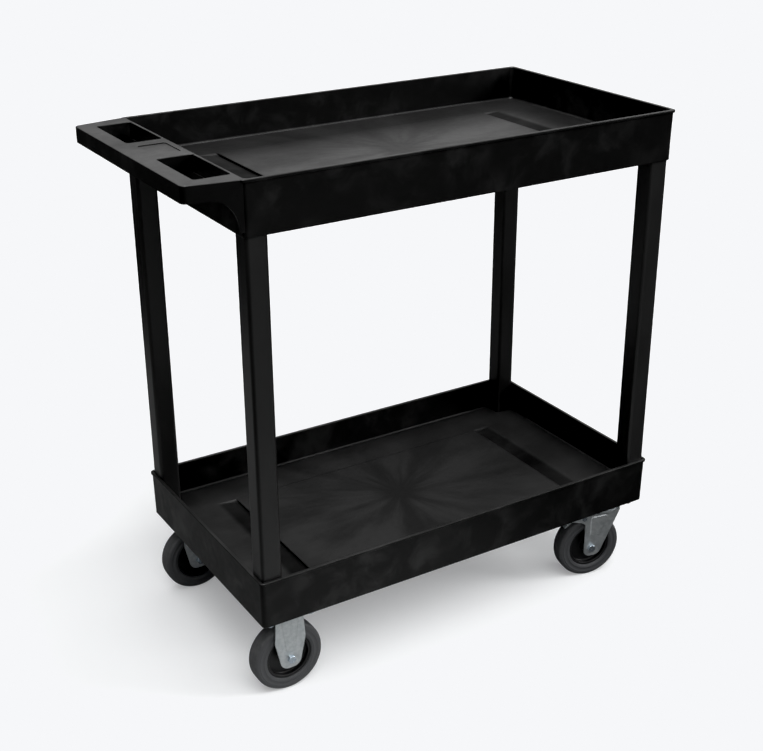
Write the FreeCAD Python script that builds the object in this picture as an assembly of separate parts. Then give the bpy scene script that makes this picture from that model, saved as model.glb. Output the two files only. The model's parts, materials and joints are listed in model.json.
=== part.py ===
import FreeCAD, Part
import math
import os

# Rolling utility cart: two moulded tub trays on four hollow posts, with two rigid
# casters under the handle end and two braked swivel casters under the nose end.
# Origin on the floor under the middle of the cart; +X away from the handle,
# +Y to the left of the person who pushes, +Z up. Millimetres and degrees.

# ---- overall
tray_length = 812.8          # over the rim bead, 32 in
tray_width = 457.2           # over the rim bead, 18 in
overall_height = 902.0       # floor to rim, 35.5 in
handle_reach = 82.55         # handle beyond the rim bead, 3.25 in

# ---- trays
tray_height = 86.5           # outer wall, top to bottom
tray_depth = 60.5            # rim to floor
tray_wall = 4.0
handle_end_wall = 6.5        # the top tray's wall beside the hand openings
tray_floor = 5.0
tray_draft = 1.0             # each wall leans in by this much over its height
bead_proud = 2.0
bead_height = 4.5
bead_round = 0.8
rim_round = 1.2              # top edges, inside, outside and round the hand openings
corner_radius = 8.0
cove_radius = 4.0            # between floor and walls, inside
skirt_round = 1.5            # bottom edge of the outer wall

# ---- floor pattern
panel_length = 545.0
panel_width = 284.0
panel_rise = 1.5
panel_corner = 5.0
trough_width = 42.0
trough_length = 290.0
trough_depth = 3.2           # beside the panel; it fades out across the width
trough_hip = 12.0            # slope length at each end of the trough
rib_thickness = 3.0
rib_depth = 12.0
rib_ring_radius = 26.0
steep_rib_reach = 114.5      # lengthwise from the middle to where the steepest ribs meet the side walls

# ---- handle, moulded in one with the top tray
handle_taper = 16.5          # each side comes in by this much towards the end
handle_side_inset = 1.5      # the side skirts start inside the tray's corner
handle_depth = 26.0
handle_wall = 4.0
handle_deck = 4.5
handle_corner = 9.0
handle_root = 5.0            # how far the handle's roots run into the tray's end wall
gusset_length = 40.0
gusset_height = 51.0
gusset_end_margin = 2.0
grip_bar = 29.0
grip_width = 133.0
grip_bridge = 113.0          # between the two hand openings
grip_corner = 5.0
grip_past_bead = 4.0         # the openings end this far inside the bead's outer edge
badge_length = 46.0
badge_width = 62.0
badge_recess = 1.0
badge_corner = 4.0

# ---- posts
post_size = 37.0
post_wall = 3.5
post_round = 6.0
pocket_wall = 2.4            # left of the tray's wall beside a post
post_clearance = 0.4         # between a post and the moulding round it
spigot_fit = 0.2             # between a spigot and the post it fills
spigot_wall = 3.0
spigot_height = 45.0
socket_wall = 3.0

# ---- wheels
wheel_radius = 63.5          # 5 in
tyre_width = 31.0
tyre_inner_radius = 42.0
tyre_shoulder = 6.5
tyre_inner_round = 0.8
rim_thickness = 5.0
rim_width = 25.0
web_thickness = 7.0
web_round = 2.0
boss_radius = 14.0
bush_radius = 9.5
bush_length = 12.0
bush_flange_radius = 12.0
bush_flange = 1.0
sleeve_radius = 6.35
running_clearance = 0.05
press_clearance = 0.02
side_clearance = 0.5         # each side, between bush flange and fork

# ---- casters
axle_radius = 4.0
hole_clearance = 0.1
fork_gap = 38.0              # between the cheeks
fork_sheet = 2.5
fork_bend = 5.0
fork_end_below_axle = 17.0
fork_end_half = 16.5
fork_end_round = 15.0
fork_blank = 80.0            # length of the bent strip that a fixed fork is trimmed from
fork_shoulder_half = 28.5    # widest place of a fixed fork's cheek
fork_shoulder_rise = 37.0    # that place above the axle
fork_shoulder_round = 18.0
fork_root_half = 25.0        # at the crown
swage_depth = 1.2
swage_slope = 2.0
swage_round = 5.0
fork_swage_foot = 9.0        # half width of the fixed fork's swage at its foot
fork_swage_head = 17.0
fork_swage_rise = 15.0       # its foot above the axle
fork_swage_margin = 3.0      # its head below the bend
yoke_end_inset = 2.0         # the trailing edge stands in by this much
yoke_end_corner = 5.0
yoke_front = 21.0            # cheek ahead of the kingpin at the pedal pin's height
yoke_front_round = 6.0
yoke_root = 25.0             # and at the crown
yoke_ear_top_round = 3.0
yoke_ear_foot_round = 4.0
yoke_blank_front = 40.0      # the bent strip's front end, from the kingpin
yoke_swage_back = 4.0        # swage behind the axle
yoke_swage_foot = 18.0       # and ahead of it at the foot
yoke_swage_head = 36.0       # and at the head
yoke_swage_rise = 26.0       # foot above the axle
yoke_swage_margin = 8.0      # head below the crown
tyre_to_crown = 12.5
race_stack = 9.5             # crown's top to the plate's underside
plate_length = 95.0
plate_width = 67.0
plate_thickness = 3.0
plate_corner = 5.0
plate_end_inset = 60.0       # plate centre from the rim bead's end
plate_side_inset = 44.0      # plate centre from the rim bead's side
screw_spacing_x = 75.0
screw_spacing_y = 45.0
swivel_trail = 35.0
swivel_rest_right = -11.0    # the right swivel caster stands turned by this angle
swivel_rest_left = 0.0
crown_radius = 30.0
race_inner = 14.5
race_outer = 27.0
race_gap = 2.0
ball_radius = 3.0
ball_circle = 21.0
ball_count = 18
lower_groove_fit = 0.03
upper_groove_fit = 0.08
kingpin_radius = 6.0
kingpin_head_radius = 10.0
kingpin_head = 5.0
kingpin_end_play = 0.2

# ---- fasteners
hex_flats = 13.0
hex_head = 5.3
hex_chamfer = 0.8
nut_height = 7.5
bolt_past_nut = 2.0
screw_radius = 4.0
screw_length = 20.0
washer_radius = 8.0
washer_thickness = 1.5
screw_boss_radius = 9.0
pilot_depth_spare = 1.5      # pilot hole beyond the screw's end

# ---- brake pedals
pedal_travel = 8.0
pedal_sheet = 2.0
pedal_side_gap = 0.3
pedal_length = 62.0          # pivot to tail
pedal_bend = 44.6            # pivot to where the tail turns up
pedal_bend_round = 6.0
pedal_tail_rise = 6.2
pedal_overhang = 2.0         # of the web ahead of the eyes
pedal_flange_corner = 4.0
pedal_flange_drop = 5.0      # depth of the flanges at the bend
pedal_flange_round = 8.0
pedal_tail_depth = 3.0
pedal_tail_round = 1.0
pedal_eye = 7.5
pin_radius = 3.0
pin_past_tyre = 7.6
pin_angle = 105.5            # seen from the axle, from straight ahead over the top
pin_head_radius = 5.0
pin_head = 1.5
shoe_angle = 132.0           # where the shoe meets the tyre, seen from the axle
shoe_gap = 0.3               # left between shoe and tyre with the pedal down
shoe_sheet = 2.5
shoe_length = 16.0
shoe_width = 20.0
tread_ribs = 4
tread_rib = 1.0              # height over the web
tread_rib_length = 2.0       # along the pedal
tread_rib_share = 0.7        # of the pedal's width
tread_pitch = 6.0
tread_start = 3.0            # first rib behind the bend
tread_sink = 1.0             # how far the ribs reach into the web

# ---- derived places
SIDES = {"right": -1.0, "left": 1.0}
overall_length = tray_length + handle_reach
nose_x = overall_length / 2
handle_bead_x = nose_x - tray_length
tray_centre_x = (nose_x + handle_bead_x) / 2
handle_end_x = handle_bead_x - handle_reach
wall_half_length = tray_length / 2 - bead_proud
wall_half_width = tray_width / 2 - bead_proud
under_depth = tray_height - tray_depth - tray_floor
crown_bottom = 2 * wheel_radius + tyre_to_crown
crown_top = crown_bottom + fork_sheet
plate_bottom = crown_top + race_stack
caster_height = plate_bottom + plate_thickness
bottom_rim = caster_height + tray_height
post_foot = bottom_rim - tray_depth
post_head = overall_height - tray_depth - tray_floor
post_inset = bead_proud + tray_draft + pocket_wall + post_clearance
post_x = tray_length / 2 - post_inset - post_size / 2
post_y = tray_width / 2 - post_inset - post_size / 2
handle_caster_x = handle_bead_x + plate_end_inset
nose_caster_x = nose_x - plate_end_inset
caster_y = tray_width / 2 - plate_side_inset
cheek_outer = fork_gap / 2 + fork_sheet
pin_x = -swivel_trail + (wheel_radius + pin_past_tyre) * math.cos(math.radians(pin_angle))
pin_z = wheel_radius + (wheel_radius + pin_past_tyre) * math.sin(math.radians(pin_angle))


# ---- geometry helpers
def vec(x, y, z):
    return FreeCAD.Vector(x, y, z)


def flat(z):
    """Place (u, v) outline points in the level plane at z."""
    return lambda u, v: vec(u, v, z)


def upright(y):
    """Place (u, v) outline points in the upright lengthwise plane at y."""
    return lambda u, v: vec(u, y, v)


def across(x):
    """Place (u, v) outline points in the upright crosswise plane at x."""
    return lambda u, v: vec(x, u, v)


def outline(points, place):
    """Closed wire through (u, v, corner radius) points."""
    corners = []
    count = len(points)
    for i in range(count):
        u, v, radius = points[i]
        here = place(u, v)
        back = (place(*points[i - 1][:2]) - here).normalize()
        ahead = (place(*points[(i + 1) % count][:2]) - here).normalize()
        if radius == 0:
            corners.append((here, None, here))
            continue
        half = back.getAngle(ahead) / 2
        reach = radius / math.tan(half)
        inward = (back + ahead).normalize()
        middle = here + inward * (radius / math.sin(half) - radius)
        corners.append((here + back * reach, middle, here + ahead * reach))
    edges = []
    for i in range(count):
        start, middle, end = corners[i]
        if middle is not None:
            edges.append(Part.Arc(start, middle, end).toShape())
        following = corners[(i + 1) % count][0]
        if end.distanceToPoint(following) > 1e-6:
            edges.append(Part.makeLine(end, following))
    return Part.Wire(edges)


def slab(points, place, thickness):
    """Outline extruded by a vector."""
    return Part.Face(outline(points, place)).extrude(thickness)


def rectangle(centre_x, centre_y, half_x, half_y, radius):
    return [(centre_x - half_x, centre_y - half_y, radius),
            (centre_x + half_x, centre_y - half_y, radius),
            (centre_x + half_x, centre_y + half_y, radius),
            (centre_x - half_x, centre_y + half_y, radius)]


def block(centre_x, centre_y, half_x, half_y, radius, low, high):
    """Upright bar of rounded-rectangle section."""
    return slab(rectangle(centre_x, centre_y, half_x, half_y, radius), flat(low), vec(0, 0, high - low))


def tapered(centre_x, low_half, high_half, radius, low, high):
    """Bar whose rounded-rectangle section changes evenly from low to high; halves are (x, y)."""
    wires = [outline(rectangle(centre_x, 0, half[0], half[1], radius), flat(z))
             for half, z in ((low_half, low), (high_half, high))]
    return Part.makeLoft(wires, True, True)


def upright_cylinder(x, y, radius, low, high):
    return Part.makeCylinder(radius, high - low, vec(x, y, low))


def ring(x, y, inner, outer, low, high):
    return upright_cylinder(x, y, outer, low, high).cut(upright_cylinder(x, y, inner, low, high))


def crosswise_cylinder(x, z, radius, low_y, high_y):
    return Part.makeCylinder(radius, high_y - low_y, vec(x, low_y, z), vec(0, 1, 0))


def fuse_all(shapes):
    return shapes[0].multiFuse(shapes[1:]).removeSplitter()


def edges_where(shape, test):
    return [edge for edge in shape.Edges if test(edge.BoundBox)]


def hexagon(height):
    """Hexagon head standing on the origin, its top corners chamfered."""
    corner = hex_flats / math.sqrt(3)
    points = [(corner * math.cos(math.radians(60 * i)), corner * math.sin(math.radians(60 * i)), 0)
              for i in range(6)]
    barrel = upright_cylinder(0, 0, corner, 0, height)
    top = edges_where(barrel, lambda box: box.ZMin > height - 0.01)
    return slab(points, flat(0), vec(0, 0, height)).common(barrel.makeChamfer(hex_chamfer, top))


# ---- trays
def wall_half(inset, above_bottom):
    """Half length and half width of the tub's outer wall, less an inset, at a height in it."""
    lean = tray_draft * (1 - above_bottom / tray_height)
    return wall_half_length - inset - lean, wall_half_width - inset - lean


def rounded_rim(tray, rim):
    """Round over every edge that lies in the rim's level plane."""
    top = edges_where(tray, lambda box: box.ZMin > rim - 0.01)
    return tray.makeFillet(rim_round, top)


def tub_outside(rim):
    bottom = rim - tray_height
    tub = tapered(tray_centre_x, wall_half(0, 0), wall_half(0, tray_height), corner_radius, bottom, rim)
    lowest = edges_where(tub, lambda box: box.ZMax < bottom + 0.01)
    tub = tub.makeFillet(skirt_round, lowest)
    bead = block(tray_centre_x, 0, tray_length / 2, tray_width / 2, corner_radius, rim - bead_height, rim)
    under = edges_where(bead, lambda box: box.ZMax < rim - bead_height + 0.01)
    return tub.fuse(bead.makeFillet(bead_round, under))


def tub_inside(rim, end_wall):
    """The tray's hollow, coved at the floor; end_wall is the thickness at the handle end."""
    shift = (end_wall - tray_wall) / 2
    floor_level = tray_height - tray_depth
    low = wall_half(tray_wall, floor_level)
    high = wall_half(tray_wall, tray_height)
    radius = corner_radius - tray_wall
    hollow = tapered(tray_centre_x + shift, (low[0] - shift, low[1]), (high[0] - shift, high[1]),
                     radius + cove_radius, rim - tray_depth, rim)
    foot = edges_where(hollow, lambda box: box.ZMax < rim - tray_depth + 0.01)
    return hollow.makeFillet(cove_radius, foot)


def tub_underside(rim):
    """The open space below the tray floor, inside the skirt."""
    bottom = rim - tray_height
    return tapered(tray_centre_x, wall_half(tray_wall, 0), wall_half(tray_wall, under_depth),
                   corner_radius - tray_wall, bottom, bottom + under_depth)


def trough(rim, end):
    """Hollow beside the floor panel: deepest at the panel, it fades into the floor in one arc.
    Its ends slope up; end is -1 at the handle and 1 at the nose."""
    top = rim - tray_depth
    near = tray_centre_x + end * panel_length / 2
    far = near + end * trough_width
    middle = (near + far) / 2
    radius = (trough_width ** 2 + trough_depth ** 2) / (2 * trough_depth)
    half_drop = radius - math.sqrt(radius ** 2 - (trough_width / 2) ** 2)
    half = trough_length / 2
    corner, deep, shore = vec(near, -half, top), vec(near, -half, top - trough_depth), vec(far, -half, top)
    arc = Part.Arc(deep, vec(middle, -half, top - half_drop), shore).toShape()
    section = Part.Wire([Part.makeLine(corner, deep), arc, Part.makeLine(shore, corner)])
    hollow = Part.Face(section).extrude(vec(0, trough_length, 0))
    ends = tapered(middle, (trough_width, half - trough_hip), (trough_width, half), 0,
                   top - trough_depth, top)
    return hollow.common(ends)


def floor_panel(rim):
    """Raised panel in the middle of the tray floor."""
    return block(tray_centre_x, 0, panel_length / 2, panel_width / 2, panel_corner,
                 rim - tray_depth - tray_floor / 2, rim - tray_depth + panel_rise)


def bar_between(start, end, thickness, low, high):
    """Straight upright rib from one (x, y) to another."""
    dx, dy = end[0] - start[0], end[1] - start[1]
    length = math.hypot(dx, dy)
    bar = Part.makeBox(length, thickness, high - low, vec(0, -thickness / 2, 0))
    bar.rotate(vec(0, 0, 0), vec(0, 0, 1), math.degrees(math.atan2(dy, dx)))
    bar.translate(vec(start[0], start[1], low))
    return bar


def rib_ends():
    """Where the radial ribs end, in the first quarter, from the tray's centre."""
    half_x, half_y = tray_length / 2, tray_width / 2
    corner_x, corner_y = panel_length / 2, panel_width / 2
    return [(half_x, half_x * corner_y / corner_x / 2), (half_x, half_x * corner_y / corner_x),
            (steep_rib_reach, half_y)]


def floor_ribs(rim):
    """Radial and square ribs under the floor, trimmed to the space inside the skirt."""
    high = rim - tray_depth - tray_floor / 2
    low = rim - tray_depth - tray_floor - rib_depth
    centre = (tray_centre_x, 0)
    ends = [(tray_length / 2, 0), (-tray_length / 2, 0), (0, tray_width / 2), (0, -tray_width / 2)]
    for x, y in rib_ends():
        ends += [(x, y), (-x, y), (x, -y), (-x, -y)]
    ribs = [bar_between(centre, (tray_centre_x + x, y), rib_thickness, low, high) for x, y in ends]
    for side in (-1, 1):
        x = tray_centre_x + side * panel_length / 2
        y = side * panel_width / 2
        ribs.append(bar_between((x, -tray_width / 2), (x, tray_width / 2), rib_thickness, low, high))
        ribs.append(bar_between((tray_centre_x - tray_length / 2, y), (tray_centre_x + tray_length / 2, y),
                                rib_thickness, low, high))
    ribs.append(upright_cylinder(tray_centre_x, 0, rib_ring_radius, low, high))
    inside = wall_half(tray_wall / 2, 0)
    return fuse_all(ribs).common(block(tray_centre_x, 0, inside[0], inside[1], 0, low, high))


def post_places():
    return [(tray_centre_x + end * post_x, side * post_y) for end in (-1, 1) for side in (-1, 1)]


def spigot(x, y, low, high):
    """Hollow square peg that fills the end of a post."""
    outer = post_size / 2 - post_wall - spigot_fit
    radius = post_round - post_wall
    peg = block(x, y, outer, outer, radius, low, high)
    return peg.cut(block(x, y, outer - spigot_wall, outer - spigot_wall, 0, low, high))


def post_pocket(x, y, low, high):
    half = post_size / 2 + post_clearance
    return block(x, y, half, half, 0, low, high)


def screw_places(x, y):
    return [(x + i * screw_spacing_x / 2, y + j * screw_spacing_y / 2) for i in (-1, 1) for j in (-1, 1)]


def caster_places():
    return [(x, side * caster_y) for x in (handle_caster_x, nose_caster_x) for side in (-1, 1)]


def caster_pad(x, y):
    """Bosses and walls that carry a caster plate, from the tray floor down to its bottom edge."""
    low, high = caster_height, post_foot - tray_floor / 2
    places = screw_places(x, y)
    parts = [upright_cylinder(px, py, screw_boss_radius, low, high) for px, py in places]
    for start, end in ((0, 1), (2, 3), (0, 2), (1, 3)):
        parts.append(bar_between(places[start], places[end], rib_thickness, low, high))
    return fuse_all(parts)


def screw_pilot(x, y):
    high = plate_bottom + screw_length - washer_thickness + pilot_depth_spare
    return upright_cylinder(x, y, screw_radius + press_clearance, caster_height - 1, high)


def bottom_tray():
    rim = bottom_rim
    tray = tub_outside(rim).cut(tub_inside(rim, tray_wall))
    tray = rounded_rim(tray, rim).cut(tub_underside(rim))
    pads = [caster_pad(x, y) for x, y in caster_places()]
    tray = fuse_all([tray, floor_panel(rim), floor_ribs(rim)] + pads)
    for end in (-1, 1):
        tray = tray.cut(trough(rim, end))
    for x, y in post_places():
        tray = tray.cut(post_pocket(x, y, post_foot, rim))
    tray = fuse_all([tray] + [spigot(x, y, post_foot - tray_floor / 2, post_foot + spigot_height)
                              for x, y in post_places()])
    for x, y in caster_places():
        for px, py in screw_places(x, y):
            tray = tray.cut(screw_pilot(px, py))
    return tray


# ---- handle
def handle_half(x):
    """Half width of the handle's outside at x; the sides are straight lines."""
    root_half = wall_half_width - handle_side_inset
    share = (handle_bead_x - x) / handle_reach
    return root_half - share * (handle_taper - handle_side_inset - bead_proud)


def handle_plan(inset, root_x, corner):
    """Level outline of the handle, drawn in by an inset, from its end to root_x."""
    end_x = handle_end_x + inset
    return [(end_x, -handle_half(end_x) + inset, corner), (root_x, -handle_half(root_x) + inset, 0),
            (root_x, handle_half(root_x) - inset, 0), (end_x, handle_half(end_x) - inset, corner)]


def grip_plan(side, grow):
    """Level outline of one hand opening, grown outward by a wall."""
    start = handle_end_x + grip_bar
    end = handle_bead_x + grip_past_bead
    centre_y = side * (grip_bridge + grip_width) / 2
    return rectangle((start + end) / 2, centre_y, (end - start) / 2 + grow, grip_width / 2 + grow,
                     grip_corner + grow)


def gusset_space():
    """What is cleared below the side skirts: a level step that ends in a quarter ellipse."""
    rim = overall_height
    end_x = handle_bead_x - gusset_end_margin
    start_x = end_x - gusset_length
    low = rim - handle_depth - gusset_height
    ellipse = Part.Ellipse(vec(start_x, 0, rim - handle_depth), vec(end_x, 0, low), vec(start_x, 0, low))
    quarter = Part.ArcOfEllipse(ellipse, 0, 2 * math.pi).toShape()
    face = Part.Face(Part.Wire([quarter]))
    half = tray_width / 2
    face.translate(vec(0, -half, 0))
    oval = face.extrude(vec(0, 2 * half, 0))
    step = Part.makeBox(start_x - handle_end_x + 1, 2 * half, gusset_height,
                        vec(handle_end_x - 1, -half, low))
    return oval.fuse(step)


def handle_body():
    """Deck, skirts and gussets as one shell, open below, still without the hand openings."""
    rim = overall_height
    low = rim - handle_depth - gusset_height
    root_x = handle_bead_x + handle_root
    outside = slab(handle_plan(0, root_x, handle_corner), flat(low), vec(0, 0, rim - low))
    hollow = slab(handle_plan(handle_wall, root_x + 1, handle_corner - handle_wall), flat(low - 1),
                  vec(0, 0, rim - handle_deck - low + 1))
    shell = outside.cut(hollow)
    walls = [slab(grip_plan(side, handle_wall), flat(rim - handle_depth), vec(0, 0, handle_depth))
             for side in (-1, 1)]
    walls = [wall.common(outside) for wall in walls]
    return fuse_all([shell] + walls).cut(gusset_space())


def grip_hole(side):
    rim = overall_height
    return slab(grip_plan(side, 0), flat(rim - handle_depth - 1), vec(0, 0, handle_depth + 2))


def badge_space():
    """Blank shallow recess in the bridge between the hand openings."""
    middle = (handle_end_x + grip_bar + handle_bead_x + grip_past_bead) / 2
    return block(middle, 0, badge_length / 2, badge_width / 2, badge_corner,
                 overall_height - badge_recess, overall_height + 1)


def top_outside():
    rim = overall_height
    body = fuse_all([tub_outside(rim), handle_body()])
    for side in (-1, 1):
        body = body.cut(grip_hole(side))
    return body


def top_tray():
    rim = overall_height
    bottom = rim - tray_height
    tray = top_outside().cut(tub_inside(rim, handle_end_wall))
    tray = rounded_rim(tray, rim).cut(tub_underside(rim))
    half = post_size / 2 + post_clearance + socket_wall
    inside = block(tray_centre_x, 0, *wall_half(tray_wall / 2, 0), 0, bottom + skirt_round, rim)
    sockets = [block(x, y, half, half, 0, bottom + skirt_round, post_head + tray_floor / 2).common(inside)
               for x, y in post_places()]
    tray = fuse_all([tray, floor_panel(rim), floor_ribs(rim)] + sockets)
    for end in (-1, 1):
        tray = tray.cut(trough(rim, end))
    for x, y in post_places():
        tray = tray.cut(post_pocket(x, y, bottom - 1, post_head))
    tray = fuse_all([tray] + [spigot(x, y, post_head - spigot_height, post_head + tray_floor / 2)
                              for x, y in post_places()])
    tray = tray.cut(badge_space())
    return tray


# ---- posts
def post(x, y):
    half = post_size / 2
    bar = block(x, y, half, half, post_round, post_foot, post_head)
    inner = half - post_wall
    return bar.cut(block(x, y, inner, inner, post_round - post_wall, post_foot, post_head))


# ---- wheels, in the caster's own frame: floor at z = 0, plate centre over the origin
def turned(points, axle_x):
    """Outline of (radius, y) points turned about the axle."""
    face = Part.Face(outline(points, lambda u, v: vec(axle_x, v, wheel_radius + u)))
    return face.revolve(vec(axle_x, 0, wheel_radius), vec(0, 1, 0), 360)


def tyre(axle_x):
    half = tyre_width / 2
    return turned([(tyre_inner_radius, -half, tyre_inner_round), (wheel_radius, -half, tyre_shoulder),
                   (wheel_radius, half, tyre_shoulder), (tyre_inner_radius, half, tyre_inner_round)], axle_x)


def hub(axle_x):
    """Rim, web and boss as one turned shape."""
    rim_outer = tyre_inner_radius - press_clearance
    rim_inner = tyre_inner_radius - rim_thickness
    bore = bush_radius + press_clearance
    boss_half = fork_gap / 2 - side_clearance - bush_flange
    rim_half, web_half = rim_width / 2, web_thickness / 2
    lower = [(bore, -boss_half, 0), (boss_radius, -boss_half, 1), (boss_radius, -web_half, web_round),
             (rim_inner, -web_half, web_round), (rim_inner, -rim_half, 1), (rim_outer, -rim_half, 1)]
    upper = [(radius, -y, corner) for radius, y, corner in reversed(lower)]
    return turned(lower + upper, axle_x)


def bushes(axle_x):
    """The pair of flanged bushes pressed into the hub."""
    boss_half = fork_gap / 2 - side_clearance - bush_flange
    bore = sleeve_radius + running_clearance
    pair = []
    for side in (-1, 1):
        points = [(bore, side * (boss_half - bush_length), 0),
                  (bush_radius, side * (boss_half - bush_length), 0),
                  (bush_radius, side * boss_half, 0), (bush_flange_radius, side * boss_half, 0),
                  (bush_flange_radius, side * (boss_half + bush_flange), 0),
                  (bore, side * (boss_half + bush_flange), 0)]
        pair.append(turned(points, axle_x))
    return Part.makeCompound(pair)


def sleeve(axle_x):
    """Spacer clamped between the cheeks, on which the bushes run."""
    half = fork_gap / 2
    outer = crosswise_cylinder(axle_x, wheel_radius, sleeve_radius, -half, half)
    return outer.cut(crosswise_cylinder(axle_x, wheel_radius, axle_radius + hole_clearance, -half, half))


def to_outboard(shape, axle_x, y):
    """Lay a shape that stands on the origin on its side, pointing to -Y from the axle."""
    shape.rotate(vec(0, 0, 0), vec(1, 0, 0), 90)
    shape.translate(vec(axle_x, y, wheel_radius))
    return shape


def axle_bolt(axle_x):
    head = to_outboard(hexagon(hex_head), axle_x, -cheek_outer)
    end = cheek_outer + nut_height + bolt_past_nut
    shank = crosswise_cylinder(axle_x, wheel_radius, axle_radius, -cheek_outer, end)
    return head.fuse(shank).removeSplitter()


def axle_nut(axle_x):
    nut = to_outboard(hexagon(nut_height), axle_x, 0)
    nut.rotate(vec(axle_x, 0, wheel_radius), vec(0, 0, 1), 180)
    nut.translate(vec(0, cheek_outer, 0))
    bore = axle_radius + press_clearance
    return nut.cut(crosswise_cylinder(axle_x, wheel_radius, bore, cheek_outer - 1,
                                      cheek_outer + nut_height + 1))


# ---- caster forks and plates
def channel(low, top, start_x, end_x):
    """Upside-down U of bent sheet, running lengthwise, open below."""
    outer = [(-cheek_outer, low, 0), (cheek_outer, low, 0), (cheek_outer, top, fork_bend),
             (-cheek_outer, top, fork_bend)]
    half = fork_gap / 2
    inner = [(-half, low - 1, 0), (half, low - 1, 0), (half, top - fork_sheet, fork_bend - fork_sheet),
             (-half, top - fork_sheet, fork_bend - fork_sheet)]
    along = vec(end_x - start_x, 0, 0)
    return slab(outer, across(start_x), along).cut(slab(inner, across(start_x), along))


def swage(points, side):
    """Raised stiffening panel for one cheek and the matching dent behind it."""
    cx = sum(u for u, v, r in points) / len(points)
    cz = sum(v for u, v, r in points) / len(points)
    smaller = [(u - swage_slope * math.copysign(1, u - cx), v - swage_slope * math.copysign(1, v - cz), r)
               for u, v, r in points]

    def tapered_pad(face_y):
        wires = [outline(points, upright(side * face_y)),
                 outline(smaller, upright(side * (face_y + swage_depth)))]
        return Part.makeLoft(wires, True, True)

    return tapered_pad(cheek_outer), tapered_pad(fork_gap / 2)


def with_swages(fork, points):
    for side in (-1, 1):
        bump, dent = swage(points, side)
        fork = fork.fuse(bump).cut(dent)
    return fork.removeSplitter()


def drilled_across(shape, x, z, radius):
    reach = cheek_outer + pedal_sheet + pin_head
    return shape.cut(crosswise_cylinder(x, z, radius, -reach, reach))


def caster_plate():
    """Flat top plate with its four screw holes, under the tray's corner."""
    plate = block(0, 0, plate_length / 2, plate_width / 2, plate_corner, plate_bottom, caster_height)
    for x, y in screw_places(0, 0):
        plate = plate.cut(upright_cylinder(x, y, screw_radius + hole_clearance, plate_bottom - 1,
                                           caster_height + 1))
    return plate


def fixed_fork():
    """Rigid fork: cheeks bent down from a crown that is welded under its plate."""
    low = wheel_radius - fork_end_below_axle
    shoulder = wheel_radius + fork_shoulder_rise
    side_view = [(-fork_end_half, low, fork_end_round), (fork_end_half, low, fork_end_round),
                 (fork_shoulder_half, shoulder, fork_shoulder_round), (fork_root_half, plate_bottom, 0),
                 (-fork_root_half, plate_bottom, 0), (-fork_shoulder_half, shoulder, fork_shoulder_round)]
    fork = channel(low, plate_bottom, -fork_blank / 2, fork_blank / 2)
    fork = fork.common(slab(side_view, upright(-cheek_outer - 1), vec(0, 2 * cheek_outer + 2, 0)))
    head = plate_bottom - fork_bend - fork_swage_margin
    foot = wheel_radius + fork_swage_rise
    fork = with_swages(fork, [(-fork_swage_foot, foot, swage_round), (fork_swage_foot, foot, swage_round),
                              (fork_swage_head, head, swage_round), (-fork_swage_head, head, swage_round)])
    fork = drilled_across(fork, 0, wheel_radius, axle_radius + hole_clearance)
    return fuse_all([caster_plate(), fork])


def race_groove(radius, z):
    return Part.makeTorus(ball_circle, radius, vec(0, 0, z))


def ball_level():
    return (crown_top + plate_bottom) / 2


def yoke():
    """Swivel fork: trailing cheeks, round crown with the lower ball race, ears for the pedal pin."""
    axle_x = -swivel_trail
    low = wheel_radius - fork_end_below_axle
    ear = pin_x - pedal_eye
    back = axle_x - fork_end_half + yoke_end_inset
    side_view = [(back, low, fork_end_round - yoke_end_inset),
                 (axle_x + fork_end_half, low, fork_end_round),
                 (yoke_front, pin_z, yoke_front_round), (yoke_root, crown_top, 0),
                 (ear, crown_top, yoke_ear_top_round), (ear, pin_z - pedal_eye, yoke_ear_foot_round),
                 (back, pin_z - 2 * pedal_eye, yoke_end_corner)]
    fork = channel(low, crown_top, ear - 1, yoke_blank_front)
    fork = fork.common(slab(side_view, upright(-cheek_outer - 1), vec(0, 2 * cheek_outer + 2, 0)))
    head = crown_bottom - yoke_swage_margin
    foot = wheel_radius + yoke_swage_rise
    fork = with_swages(fork, [(axle_x - yoke_swage_back, foot, swage_round),
                              (axle_x + yoke_swage_foot, foot, swage_round),
                              (axle_x + yoke_swage_head, head, swage_round),
                              (axle_x - yoke_swage_back, head, swage_round)])
    fork = drilled_across(fork, axle_x, wheel_radius, axle_radius + hole_clearance)
    fork = drilled_across(fork, pin_x, pin_z, pin_radius + press_clearance)
    lower_race = upright_cylinder(0, 0, race_outer, crown_bottom, ball_level() - race_gap / 2)
    crown = upright_cylinder(0, 0, crown_radius, crown_bottom, crown_top)
    fork = fuse_all([fork, crown, lower_race])
    fork = fork.cut(race_groove(ball_radius + lower_groove_fit, ball_level()))
    fork = fork.cut(upright_cylinder(0, 0, race_inner, crown_top, plate_bottom))
    bore = kingpin_radius + running_clearance
    return fork.cut(upright_cylinder(0, 0, bore, crown_bottom - 1, plate_bottom))


def swivel_plate():
    """Top plate of a swivel caster, with the upper ball race under it."""
    race = ring(0, 0, race_inner, race_outer, ball_level() + race_gap / 2, plate_bottom)
    plate = fuse_all([caster_plate(), race]).cut(race_groove(ball_radius + upper_groove_fit, ball_level()))
    return plate.cut(kingpin_solid(press_clearance))


def kingpin_solid(grow):
    """Countersunk at the plate, riveted over below the crown; grown evenly to cut its own seat."""
    low = crown_bottom - kingpin_end_play
    top_cone = Part.makeCone(kingpin_radius + grow, kingpin_head_radius + grow, plate_thickness,
                             vec(0, 0, plate_bottom))
    shank = upright_cylinder(0, 0, kingpin_radius + grow, low - 1, plate_bottom)
    button = upright_cylinder(0, 0, kingpin_head_radius, low - kingpin_head, low)
    return fuse_all([top_cone, shank, button])


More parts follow.
